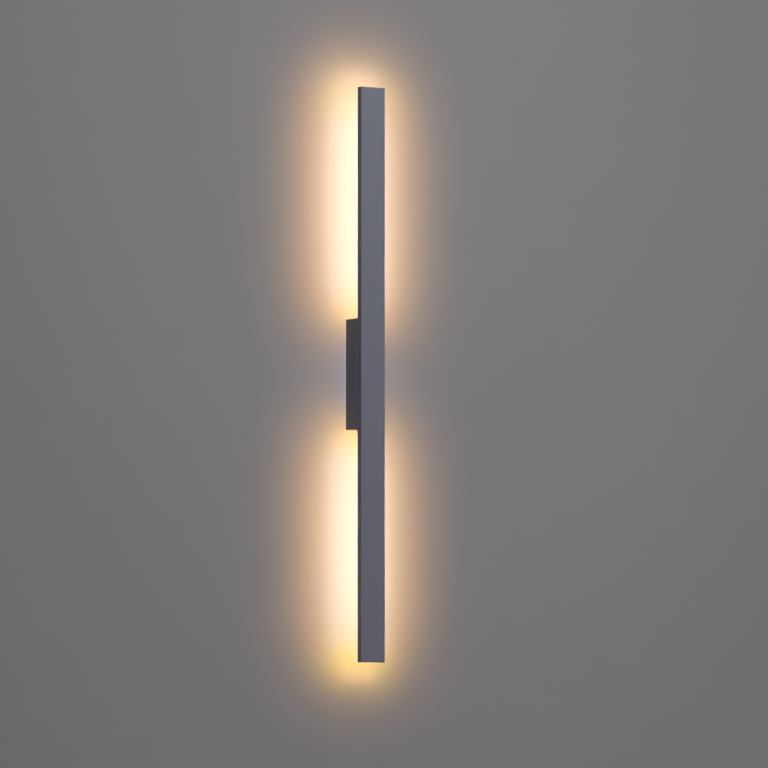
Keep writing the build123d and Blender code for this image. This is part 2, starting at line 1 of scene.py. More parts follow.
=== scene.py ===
import bmesh
import bpy
from math import cos, pi, radians, sin
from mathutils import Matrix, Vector


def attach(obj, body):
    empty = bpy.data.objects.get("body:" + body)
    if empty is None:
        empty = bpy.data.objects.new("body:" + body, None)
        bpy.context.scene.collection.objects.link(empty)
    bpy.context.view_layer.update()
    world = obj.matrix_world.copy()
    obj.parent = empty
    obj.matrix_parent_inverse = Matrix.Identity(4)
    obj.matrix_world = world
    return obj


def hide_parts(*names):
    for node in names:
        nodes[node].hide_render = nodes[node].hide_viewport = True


# Wall light: a flat powder-coated bar stood off the wall by a housing, with a warm LED strip on its wall side
# above and below. Metres, in the CAD's frame: +Z along the bar, the wall at Y = 0, the front at -Y.

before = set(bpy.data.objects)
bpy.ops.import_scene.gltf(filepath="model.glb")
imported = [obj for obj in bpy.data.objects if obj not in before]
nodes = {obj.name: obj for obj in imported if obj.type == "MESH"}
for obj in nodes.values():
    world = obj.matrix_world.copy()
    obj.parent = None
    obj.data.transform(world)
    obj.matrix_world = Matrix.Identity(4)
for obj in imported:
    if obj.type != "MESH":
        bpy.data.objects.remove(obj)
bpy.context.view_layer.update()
print("frame loaded:", len(nodes), "nodes")


def linearColour(hexText):
    # sRGB hex to the linear values that shaders and lamps take.
    values = [int(hexText[i:i + 2], 16) / 255 for i in (1, 3, 5)]
    return [v / 12.92 if v <= 0.04045 else ((v + 0.055) / 1.055) ** 2.4 for v in values] + [1.0]


def addNode(tree, kind, settings=None, links=None):
    # settings: a property or an input, by name or number. links: an input, and the socket, node or list into it.
    node = tree.nodes.new(kind)
    for key, value in (settings or {}).items():
        if isinstance(key, str) and hasattr(node, key):
            setattr(node, key, value)
        else:
            node.inputs[key].default_value = value
    for key, source in (links or {}).items():
        for one in source if isinstance(source, list) else [source]:
            tree.links.new(getattr(one, "outputs", [one])[0], node.inputs[key])
    return node


def newMaterial(name, coordinate="Object"):
    material = bpy.data.materials.new(name)
    material.use_nodes = True
    material.node_tree.nodes.clear()
    tree = material.node_tree
    return material, tree, addNode(tree, "ShaderNodeTexCoord").outputs[coordinate]


def paint(nodeNames, material):
    for name in nodeNames:
        mesh = nodes[name].data
        mesh.materials.clear()
        mesh.materials.append(material)


sameVertex = 1e-6  # metres: corners that are nearer than this are one


def solidBoxes(nodeName):
    # The lowest and highest corner of each separate solid of a CAD node, read from a merged copy of its mesh.
    shape = bmesh.new()
    shape.from_mesh(nodes[nodeName].data)
    bmesh.ops.remove_doubles(shape, verts=shape.verts, dist=sameVertex)
    boxes, left = [], set(shape.verts)
    while left:
        found = [left.pop()]
        for vertex in found:
            for edge in vertex.link_edges:
                other = edge.other_vert(vertex)
                if other in left:
                    left.remove(other)
                    found.append(other)
        low = Vector([min(vertex.co[i] for vertex in found) for i in range(3)])
        high = Vector([max(vertex.co[i] for vertex in found) for i in range(3)])
        boxes.append((low, high))
    shape.free()
    return sorted(boxes, key=lambda box: [round(value, 5) for value in box[0]])


# Camera, at the photograph's angle.
cameraSet = dict(
    pivot=(0.0, -0.038, 0.0),
    azimuth=-34.25,
    elevation=-3.93,
    distance=7.0,
    lens=236.5,
    sensor=36.0,
    aimRight=0.01517,
    aimUp=-0.01429,
    farClip=60.0,
)


def placeCamera(settings):
    turn, tilt = radians(settings["azimuth"]), radians(settings["elevation"])
    outward = Vector((sin(turn) * cos(tilt), -cos(turn) * cos(tilt), sin(tilt)))
    pivot = Vector(settings["pivot"])
    right = (-outward).cross(Vector((0, 0, 1))).normalized()
    up = right.cross(-outward)
    place = pivot + outward * settings["distance"]
    target = pivot + right * settings["aimRight"] + up * settings["aimUp"]
    data = bpy.data.cameras.new("photoCamera")
    data.lens = settings["lens"]
    data.sensor_width = settings["sensor"]
    data.clip_end = settings["farClip"]
    camera = bpy.data.objects.new("photoCamera", data)
    camera.location = place
    camera.rotation_euler = (target - place).to_track_quat("-Z", "Y").to_euler()
    bpy.context.scene.collection.objects.link(camera)
    bpy.context.scene.camera = camera


placeCamera(cameraSet)
print("camera placed")

# Stage: painted wall, pale floor, soft lamps.
stageSet = dict(
    wallColour="#838083",
    wallWidth=4.4,
    wallTop=2.2,
    wallGap=0.0004,
    floorColour="#cfcdc9",
    floorHeight=-0.64,
    floorSize=14.0,
    worldColour="#ffffff",
    worldStrength=0.26,
    rollerMark=0.06,
    rollerShade=0.015,
    paintRoughness=0.9,
    paintSpecular=0.2,
)
# Every lamp looks at the origin. The key leaves out the wall, which has a flatter wash of its own.
lampSet = dict(
    key=dict(place=(0.8, -1.34, 1.35), size=1.4, power=36.0, colour="#ffffff", shadow=False, wall="EXCLUDE"),
    wash=dict(place=(0.15, -1.5, 0.65), size=1.4, power=18.0, colour="#ffffff", shadow=False, wall="INCLUDE"),
    rear=dict(place=(0.5, 2.2, 1.6), size=1.6, power=32.0, colour="#ffffff", shadow=True, wall=None),
)


def mattPaint(name, colour, settings, oneSided):
    # Matt emulsion on plaster: no gloss, and an even tone with the faint clouds that a roller leaves.
    material, tree, place = newMaterial(name)
    shade = settings["rollerShade"]
    cloud = addNode(
        tree, "ShaderNodeTexNoise", {"Scale": 1 / settings["rollerMark"], "Detail": 3.0}, {"Vector": place}
    )
    tone = addNode(tree, "ShaderNodeMapRange", {"To Min": 1 - shade, "To Max": 1 + shade}, {"Value": cloud})
    tint = addNode(
        tree, "ShaderNodeVectorMath", {"operation": "SCALE", 0: linearColour(colour)[:3]}, {"Scale": tone}
    )
    surface = addNode(
        tree, "ShaderNodeBsdfPrincipled",
        {"Roughness": settings["paintRoughness"], "Specular IOR Level": settings["paintSpecular"]},
        {"Base Color": tint},
    )
    if oneSided:
        # From behind, the wall lets the light's rear be seen.
        side = addNode(tree, "ShaderNodeNewGeometry").outputs["Backfacing"]
        clear = addNode(tree, "ShaderNodeBsdfTransparent")
        surface = addNode(tree, "ShaderNodeMixShader", links={0: side, 1: surface, 2: clear})
    addNode(tree, "ShaderNodeOutputMaterial", links={"Surface": surface})
    return material


def stageSheet(name, corners, material):
    mesh = bpy.data.meshes.new(name)
    mesh.from_pydata([Vector(corner) for corner in corners], [], [(0, 1, 2, 3)])
    mesh.materials.append(material)
    sheet = bpy.data.objects.new(name, mesh)
    bpy.context.scene.collection.objects.link(sheet)
    return sheet


def buildStage(settings):
    half, low, top = settings["wallWidth"] / 2, settings["floorHeight"], settings["wallTop"]
    behind = settings["wallGap"]
    wall = stageSheet(
        "wall", [(-half, behind, low), (half, behind, low), (half, behind, top), (-half, behind, top)],
        mattPaint("mattWallPaint", settings["wallColour"], settings, True),
    )
    wall.visible_shadow = False
    wall.visible_glossy = False  # the bracket is 0.4 mm off the wall and would mirror nothing else
    side = settings["floorSize"] / 2
    stageSheet(
        "floor", [(-side, -side, low), (side, -side, low), (side, side, low), (-side, side, low)],
        mattPaint("paleFloorPaint", settings["floorColour"], settings, False),
    )
    world = bpy.data.worlds.new("softWorld")
    world.use_nodes = True
    glow = world.node_tree.nodes["Background"]
    glow.inputs["Color"].default_value = linearColour(settings["worldColour"])
    glow.inputs["Strength"].default_value = settings["worldStrength"]
    bpy.context.scene.world = world
    return wall


def addLamp(name, settings, wall):
    data = bpy.data.lights.new(name, "AREA")
    data.shape = "SQUARE"
    data.size = settings["size"]
    data.energy = settings["power"]
    data.color = linearColour(settings["colour"])[:3]
    data.use_shadow = settings["shadow"]
    lamp = bpy.data.objects.new(name, data)
    lamp.location = settings["place"]
    lamp.rotation_euler = (-lamp.location).to_track_quat("-Z", "Y").to_euler()
    lamp.visible_camera = False
    if settings["wall"]:
        reach = bpy.data.collections.new(name + "Reach")
        reach.objects.link(wall)
        reach.collection_objects[0].light_linking.link_state = settings["wall"]
        lamp.light_linking.receiver_collection = reach
    bpy.context.scene.collection.objects.link(lamp)


# What the two opal covers send to the wall. The lamps reach the wall alone and cast no shadow, so they may
# hang off it where they give the photograph's halo: wide, with a soft outer edge. Amber, cool and core add up to
# warm white, and the tips turn it golden where a strip ends. The middle and the housing's edge are the cooler
# light by the housing. Each row stands above and below the middle of the light, from start to top and to low.
# Power is in watts a metre.
haloSet = dict(
    amber=dict(
        fromWall=0.10, spread=120.0, width=0.11, power=2.118, colour="#ffb000", start=0.072, top=0.414, low=0.392,
    ),
    cool=dict(
        fromWall=0.06, spread=160.0, width=0.07, power=0.712, colour="#00daff", start=0.096, top=0.408, low=0.360,
    ),
    core=dict(
        fromWall=0.02, spread=140.0, width=0.10, power=0.218, colour="#94e4ff", start=0.106, top=0.360, low=0.382,
    ),
    outerTip=dict(
        fromWall=0.05, spread=120.0, width=0.09, power=2.15, colour="#ffe700", start=0.390, top=0.398, low=0.406,
    ),
    outerEdge=dict(
        fromWall=0.014, spread=120.0, width=0.06, power=0.175, colour="#ffaabc", start=0.410, top=0.426, low=0.426,
    ),
    innerTip=dict(
        fromWall=0.04, spread=120.0, width=0.06, power=0.56, colour="#ffd500", start=0.074, top=0.106, low=0.106,
    ),
    middle=dict(
        fromWall=0.07, spread=160.0, width=0.09, power=0.233, colour="#60c7ff", start=0.0, top=0.060, low=0.060,
    ),
    housingEdge=dict(
        fromWall=0.03, spread=120.0, width=0.004, power=0.15, colour="#00a8ff", start=0.0, top=0.055, low=0.055,
    ),
)


def addHalo(rows, wall):
    wallOnly = bpy.data.collections.new("wallOnly")
    wallOnly.objects.link(wall)
    for name, row in rows.items():
        for side, end in ((1, row["top"]), (-1, row["low"])):
            data = bpy.data.lights.new(name + "Halo", "AREA")
            data.shape = "RECTANGLE"
            data.size = row["width"]
            data.size_y = end - row["start"]
            data.spread = radians(row["spread"])
            data.energy = row["power"] * data.size_y
            data.color = linearColour(row["colour"])[:3]
            data.use_shadow = False
            data.cycles.use_multiple_importance_sampling = False  # else the bar takes part of a wide row's light
            lamp = bpy.data.objects.new(name + "Halo", data)
            lamp.location = (0, -row["fromWall"], side * (row["start"] + end) / 2)
            lamp.rotation_euler = (radians(90), 0, 0)  # towards the wall
            lamp.visible_camera = False
            lamp.visible_glossy = False
            lamp.light_linking.receiver_collection = wallOnly
            bpy.context.scene.collection.objects.link(lamp)


wall = buildStage(stageSet)
addHalo(haloSet, wall)
for name, settings in lampSet.items():
    addLamp(name + "Lamp", settings, wall)
bpy.context.scene.view_settings.view_transform = "Standard"
print("stage and lamps placed")

# The bar, its end caps and the housing.
powderSet = dict(
    colour="#656775",
    variation=0.04,
    pebble=0.0013,
    pebbleHeight=0.00004,
    relief=0.5,
    flow=0.012,
    roughness=0.58,
    roughnessSpread=0.05,
    specular=0.3,
)


def powderCoat(settings):
    # Polyester powder, sprayed on aluminium and baked: nearly matt, with a fine pebbled skin. The real pebbles
    # are about 0.4 mm across and are drawn at 1.3 mm, because from a few metres they would not show.
    material, tree, place = newMaterial("powderCoatedAluminium")
    spread, varied = settings["roughnessSpread"], settings["variation"]
    pebbles = addNode(
        tree, "ShaderNodeTexNoise", {"Scale": 1 / settings["pebble"], "Detail": 2.0, "Roughness": 0.55},
        {"Vector": place},
    )
    flow = addNode(tree, "ShaderNodeTexNoise", {"Scale": 1 / settings["flow"], "Detail": 1.0}, {"Vector": place})
    tone = addNode(tree, "ShaderNodeMapRange", {"To Min": 1 - varied, "To Max": 1 + varied}, {"Value": pebbles})
    colour = addNode(
        tree, "ShaderNodeVectorMath", {"operation": "SCALE", 0: linearColour(settings["colour"])[:3]},
        {"Scale": tone},
    )
    gloss = addNode(
        tree, "ShaderNodeMapRange",
        {"To Min": settings["roughness"] - spread, "To Max": settings["roughness"] + spread}, {"Value": flow},
    )
    skin = addNode(
        tree, "ShaderNodeBump", {"Strength": settings["relief"], "Distance": settings["pebbleHeight"]},
        {"Height": pebbles},
    )
    surface = addNode(
        tree, "ShaderNodeBsdfPrincipled", {"IOR": 1.5, "Specular IOR Level": settings["specular"]},
        {"Base Color": colour, "Roughness": gloss, "Normal": skin},
    )
    addNode(tree, "ShaderNodeOutputMaterial", links={"Surface": surface})
    return material


paint(["bar_profile", "top_end_cap", "bottom_end_cap", "housing"], powderCoat(powderSet))

# The two half-round covers.
opalSet = dict(
    colour="#f7f1e6",
    glow="#ffcb94",
    strength=1.1,
    ripple=0.10,
    chipPitch=0.0075,
    dieLine=0.0008,
    dieLength=0.12,
    dieRelief=0.2,
    dieHeight=0.00001,
    roughness=0.38,
)


def opalAcrylic(settings):
    # Extruded opal acrylic over a row of LEDs: milky, with fine die lines along it, lit evenly from inside and
    # a little brighter over each chip.
    material, tree, place = newMaterial("opalAcrylic")
    split = addNode(tree, "ShaderNodeSeparateXYZ", links={"Vector": place})
    phase = addNode(
        tree, "ShaderNodeMath", {"operation": "MULTIPLY", 1: 2 * pi / settings["chipPitch"]}, {0: split.outputs["Z"]}
    )
    ripple = addNode(tree, "ShaderNodeMath", {"operation": "COSINE"}, {0: phase})
    low, high = (settings["strength"] * (1 + side * settings["ripple"]) for side in (-1, 1))
    bright = addNode(tree, "ShaderNodeMapRange", {"From Min": -1.0, "To Min": low, "To Max": high}, {"Value": ripple})
    across, along = 1 / settings["dieLine"], 1 / settings["dieLength"]
    stretch = addNode(tree, "ShaderNodeMapping", {"Scale": (across, across, along)}, {"Vector": place})
    dieLines = addNode(tree, "ShaderNodeTexNoise", {"Scale": 1.0, "Detail": 1.0}, {"Vector": stretch})
    lines = addNode(
        tree, "ShaderNodeBump", {"Strength": settings["dieRelief"], "Distance": settings["dieHeight"]},
        {"Height": dieLines},
    )
    surface = addNode(
        tree, "ShaderNodeBsdfPrincipled",
        {
            "Base Color": linearColour(settings["colour"]),
            "Roughness": settings["roughness"],
            "IOR": 1.49,
            "Emission Color": linearColour(settings["glow"]),
        },
        {"Emission Strength": bright, "Normal": lines},
    )
    addNode(tree, "ShaderNodeOutputMaterial", links={"Surface": surface})
    return material


paint(["upper_diffuser", "lower_diffuser"], opalAcrylic(opalSet))
print("bar, housing and covers finished")

# Metals. Each has the faint clouds of its bath or its rod, and fine lines along Z, the way it was rolled or
# drawn. The real lines are about 0.1 mm apart and are drawn at two to four times that.
metalSets = dict(
    zincPlatedSteel=dict(  # blue passivated zinc on rolled steel: cool and clouded
        colour="#b9bdc0", tint="#a9b3bd", roughness=0.34, cloud=0.006, line=0.0004, lineLength=0.02,
        uses=["wall_bracket", "nut_plates", "earth_terminal", "terminal_screws", "terminal_block_screws"],
    ),
    blackenedSteel=dict(  # black oxide on screw steel: dark grey, oily satin
        colour="#55565f", tint="#43444c", roughness=0.42, cloud=0.003, line=0.0003, lineLength=0.003, uses=[],
    ),
    turnedBrass=dict(  # bright brass bar: warm, with a clean cut sheen
        colour="#c9a652", tint="#b8923f", roughness=0.26, cloud=0.004, line=0.0002, lineLength=0.01,
        uses=["terminal_clamps"],
    ),
)


metalSkin = dict(duller=0.08, brighter=0.06, relief=0.25, lineHeight=0.00001)


def metalFinish(name, settings, skin):
    material, tree, place = newMaterial(name)
    cloud = addNode(tree, "ShaderNodeTexNoise", {"Scale": 1 / settings["cloud"], "Detail": 3.0}, {"Vector": place})
    colour = addNode(
        tree, "ShaderNodeMix",
        {"data_type": "RGBA", 6: linearColour(settings["colour"]), 7: linearColour(settings["tint"])},
        {"Factor": cloud},
    )
    gloss = addNode(
        tree, "ShaderNodeMapRange",
        {"To Min": settings["roughness"] - skin["brighter"], "To Max": settings["roughness"] + skin["duller"]},
        {"Value": cloud},
    )
    across, along = 1 / settings["line"], 1 / settings["lineLength"]
    stretch = addNode(tree, "ShaderNodeMapping", {"Scale": (across, across, along)}, {"Vector": place})
    grain = addNode(tree, "ShaderNodeTexNoise", {"Scale": 1.0, "Detail": 2.0}, {"Vector": stretch})
    lines = addNode(
        tree, "ShaderNodeBump", {"Strength": skin["relief"], "Distance": skin["lineHeight"]}, {"Height": grain}
    )
    surface = addNode(
        tree, "ShaderNodeBsdfPrincipled", {"Metallic": 1.0},
        {"Base Color": colour.outputs[2], "Roughness": gloss, "Normal": lines},
    )
    addNode(tree, "ShaderNodeOutputMaterial", links={"Surface": surface})
    return material


finishes = {name: metalFinish(name, settings, metalSkin) for name, settings in metalSets.items()}
print("metals finished")

# Moulded and extruded polymers: the pigment is even, the gloss comes from the tool or the die, and a fine
# grain breaks it up. Grains are 0.2 to 0.5 mm on the real pieces and are drawn at about twice that.
polymerSets = dict(
    whiteNylon=dict(  # moulded PA66: clean white, satin
        colour="#e8e8e4", roughness=0.42, ior=1.53, grain=0.0005, relief=0.15,
        uses=["upper_led_connector", "lower_led_connector", "terminal_block"],
    ),
    erodedPolycarbonate=dict(  # moulded in a spark-eroded tool: pale grey, even sparkle
        colour="#dcdcd8", roughness=0.5, ior=1.58, grain=0.0006, relief=0.3, uses=["driver_case", "driver_lid"],
    ),
    mouldedRubber=dict(  # EPDM from the press: black, dull, slightly mealy
        colour="#1d1d1f", roughness=0.72, ior=1.52, grain=0.0008, relief=0.25,
        uses=["lead_grommet", "cable_grommet"],
    ),
    brownInsulation=dict(  # extruded PVC: smooth and slightly waxy
        colour="#5b3420", roughness=0.38, ior=1.54, grain=0.001, relief=0.1, uses=["live_lead"],
    ),
    blueInsulation=dict(  # extruded PVC: smooth and slightly waxy
        colour="#1f4f9a", roughness=0.38, ior=1.54, grain=0.001, relief=0.1, uses=["neutral_lead"],
    ),
    whiteSilicone=dict(  # heat-proof lead: off-white, soft and dull
        colour="#e4e2dc", roughness=0.55, ior=1.43, grain=0.001, relief=0.15,
        uses=["upper_led_lead", "lower_led_lead"],
    ),
    thermalAdhesive=dict(  # filled acrylic film: light grey, dry, gritty
        colour="#d9dadb", roughness=0.75, ior=1.45, grain=0.0004, relief=0.35,
        uses=["upper_thermal_tape", "lower_thermal_tape"],
    ),
)


polymerSkin = dict(tone=0.04, gloss=0.04, grainHeight=0.00002)


def polymerFinish(name, settings, skin):
    material, tree, place = newMaterial(name)
    grain = addNode(tree, "ShaderNodeTexNoise", {"Scale": 1 / settings["grain"], "Detail": 2.0}, {"Vector": place})
    tone = addNode(
        tree, "ShaderNodeMapRange", {"To Min": 1 - skin["tone"], "To Max": 1 + skin["tone"]}, {"Value": grain}
    )
    colour = addNode(
        tree, "ShaderNodeVectorMath", {"operation": "SCALE", 0: linearColour(settings["colour"])[:3]},
        {"Scale": tone},
    )
    gloss = addNode(
        tree, "ShaderNodeMapRange",
        {"To Min": settings["roughness"] - skin["gloss"], "To Max": settings["roughness"] + skin["gloss"]},
        {"Value": grain},
    )
    bumps = addNode(
        tree, "ShaderNodeBump", {"Strength": settings["relief"], "Distance": skin["grainHeight"]},
        {"Height": grain},
    )
    surface = addNode(
        tree, "ShaderNodeBsdfPrincipled", {"IOR": settings["ior"]},
        {"Base Color": colour, "Roughness": gloss, "Normal": bumps},
    )
    addNode(tree, "ShaderNodeOutputMaterial", links={"Surface": surface})
    return material


finishes.update({name: polymerFinish(name, settings, polymerSkin) for name, settings in polymerSets.items()})
for name, settings in {**metalSets, **polymerSets}.items():
    paint(settings["uses"], finishes[name])
print("polymers finished")

# The driver's potting.
pottingSet = dict(colour="#2b2b2d", variation=0.15, roughness=0.22, wave=0.009, waveHeight=0.0002, relief=0.4)


def castResin(settings):
    # Black polyurethane poured into the case: glossy, with the slow waves of a poured surface.
    material, tree, place = newMaterial("castPolyurethane")
    waves = addNode(tree, "ShaderNodeTexNoise", {"Scale": 1 / settings["wave"], "Detail": 1.0}, {"Vector": place})
    varied = settings["variation"]
    tone = addNode(tree, "ShaderNodeMapRange", {"To Min": 1 - varied, "To Max": 1 + varied}, {"Value": waves})
    colour = addNode(
        tree, "ShaderNodeVectorMath", {"operation": "SCALE", 0: linearColour(settings["colour"])[:3]},
        {"Scale": tone},
    )
    relief = addNode(
        tree, "ShaderNodeBump", {"Strength": settings["relief"], "Distance": settings["waveHeight"]},
        {"Height": waves},
    )
    surface = addNode(
        tree, "ShaderNodeBsdfPrincipled", {"Roughness": settings["roughness"], "IOR": 1.5},
        {"Base Color": colour, "Normal": relief},
    )
    addNode(tree, "ShaderNodeOutputMaterial", links={"Surface": surface})
    return material


paint(["driver_potting"], castResin(pottingSet))

# The earth lead.
earthSet = dict(green="#2f8a3a", yellow="#e3c81f", stripeSide=0.1, roughness=0.38)


def earthInsulation(settings):
    # Extruded PVC in two colours: green, with a yellow stripe down the side that faces +X.
    material, tree, normal = newMaterial("greenYellowInsulation", "Normal")
    split = addNode(tree, "ShaderNodeSeparateXYZ", links={"Vector": normal})
    stripe = addNode(
        tree, "ShaderNodeMath", {"operation": "GREATER_THAN", 1: settings["stripeSide"]}, {0: split.outputs["X"]}
    )
    colour = addNode(
        tree, "ShaderNodeMix",
        {"data_type": "RGBA", 6: linearColour(settings["green"]), 7: linearColour(settings["yellow"])},
        {"Factor": stripe},
    )
    surface = addNode(
        tree, "ShaderNodeBsdfPrincipled", {"Roughness": settings["roughness"], "IOR": 1.54},
        {"Base Color": colour.outputs[2]},
    )
    addNode(tree, "ShaderNodeOutputMaterial", links={"Surface": surface})
    return material


paint(["earth_lead"], earthInsulation(earthSet))

# The LED boards.
maskSet = dict(
    colour="#f0f0ea", trackColour="#dcd7c6", trackPlace=0.0038, trackHalf=0.0011, trackHeight=0.00003,
    trackRelief=0.3, roughness=0.4,
)


def solderMask(settings):
    # White solder mask on a metal-core board: satin, with the two copper tracks under it showing as warmer,
    # slightly raised bands along its length.
    material, tree, place = newMaterial("whiteSolderMask")
    split = addNode(tree, "ShaderNodeSeparateXYZ", links={"Vector": place})
    side = addNode(tree, "ShaderNodeMath", {"operation": "ABSOLUTE"}, {0: split.outputs["X"]})
    track = addNode(
        tree, "ShaderNodeMath", {"operation": "COMPARE", 1: settings["trackPlace"], 2: settings["trackHalf"]},
        {0: side},
    )
    colour = addNode(
        tree, "ShaderNodeMix",
        {"data_type": "RGBA", 6: linearColour(settings["colour"]), 7: linearColour(settings["trackColour"])},
        {"Factor": track},
    )
    relief = addNode(
        tree, "ShaderNodeBump", {"Strength": settings["trackRelief"], "Distance": settings["trackHeight"]},
        {"Height": track},
    )
    surface = addNode(
        tree, "ShaderNodeBsdfPrincipled", {"Roughness": settings["roughness"], "IOR": 1.52},
        {"Base Color": colour.outputs[2], "Normal": relief},
    )
    addNode(tree, "ShaderNodeOutputMaterial", links={"Surface": surface})
    return material


paint(["upper_led_board", "lower_led_board"], solderMask(maskSet))

# The window of an LED package.
phosphorSet = dict(colour="#e9c65a", deep="#d9a838", grain=0.0003, roughness=0.5)


def phosphorGel(settings):
    # Silicone gel filled with phosphor powder: yellow, faintly grainy, with a soft gloss.
    material, tree, place = newMaterial("phosphorSilicone")
    grain = addNode(tree, "ShaderNodeTexNoise", {"Scale": 1 / settings["grain"], "Detail": 2.0}, {"Vector": place})
    colour = addNode(
        tree, "ShaderNodeMix",
        {"data_type": "RGBA", 6: linearColour(settings["colour"]), 7: linearColour(settings["deep"])},
        {"Factor": grain},
    )
    surface = addNode(
        tree, "ShaderNodeBsdfPrincipled", {"Roughness": settings["roughness"], "IOR": 1.41},
        {"Base Color": colour.outputs[2]},
    )
    addNode(tree, "ShaderNodeOutputMaterial", links={"Surface": surface})
    return material


finishes["phosphorSilicone"] = phosphorGel(phosphorSet)
print("potting, earth lead, boards and windows finished")


def newTree(name, inputs):
    tree = bpy.data.node_groups.new(name, "GeometryNodeTree")
    tree.interface.new_socket("Geometry", in_out="INPUT", socket_type="NodeSocketGeometry")
    for label, kind in inputs.items():
        tree.interface.new_socket(label, in_out="INPUT", socket_type="NodeSocket" + kind)
    tree.interface.new_socket("Geometry", in_out="OUTPUT", socket_type="NodeSocketGeometry")
    return tree, addNode(tree, "NodeGroupInput").outputs


def growPiece(name, tree, values, places, aims=()):
    # A mesh of loose points carries the tree, and its evaluated result becomes the finished plain mesh.
    seeds = bpy.data.meshes.new(name + "Seeds")
    seeds.from_pydata(places, [], [])
    if aims:
        aim = seeds.attributes.new("aim", "FLOAT_VECTOR", "POINT")
        for i, direction in enumerate(aims):
            aim.data[i].vector = direction
    piece = bpy.data.objects.new(name, seeds)
    bpy.context.scene.collection.objects.link(piece)
    grow = piece.modifiers.new("grow", "NODES")
    grow.node_group = tree
    sockets = {item.name: item.identifier for item in tree.interface.items_tree if item.in_out == "INPUT"}
    for label, value in values.items():
        grow[sockets[label]] = value
    bpy.context.view_layer.update()
    grown = piece.evaluated_get(bpy.context.evaluated_depsgraph_get())
    piece.data = bpy.data.meshes.new_from_object(grown)
    piece.data.materials.pop(index=0)  # the empty slot of the points
    piece.modifiers.remove(grow)
    bpy.data.meshes.remove(seeds)
    return piece


# Screws, with a hexagon socket and a rolled thread. Sizes are in metres: a countersunk head tapers to the
# shank, and a pan head is straight under its bevel. The length is the whole screw's.
screwSets = dict(
    end_cap_screws=dict(
        alongBar=True, slot="black_steel", finish="blackenedSteel",
        headRadius=0.0024, underRadius=0.0012, headHeight=0.0012, bevel=0.0001,
        shankRadius=0.0012, length=0.0095, pitch=0.00045,
    ),
    bracket_screws=dict(
        alongBar=True, slot="black_steel", finish="blackenedSteel",
        headRadius=0.0029, underRadius=0.0015, headHeight=0.0014, bevel=0.0001,
        shankRadius=0.0015, length=0.008, pitch=0.0005,
    ),
    housing_screws=dict(
        alongBar=False, slot="zinc_steel", finish="zincPlatedSteel",
        headRadius=0.0035, underRadius=0.0035, headHeight=0.0026, bevel=0.0006,
        shankRadius=0.002, length=0.0086, pitch=0.0007,
    ),
    driver_screws=dict(
        alongBar=False, slot="zinc_steel", finish="zincPlatedSteel",
        headRadius=0.0027, underRadius=0.0027, headHeight=0.0019, bevel=0.0005,
        shankRadius=0.0015, length=0.0067, pitch=0.0005,
    ),
    earth_screw=dict(
        alongBar=False, slot="zinc_steel", finish="zincPlatedSteel",
        headRadius=0.0035, underRadius=0.0035, headHeight=0.0026, bevel=0.0006,
        shankRadius=0.002, length=0.0062, pitch=0.0007,
    ),
)
threadSet = dict(sides=32, steps=18, depthPerPitch=0.35, socketShare=0.5, socketDepth=0.45)


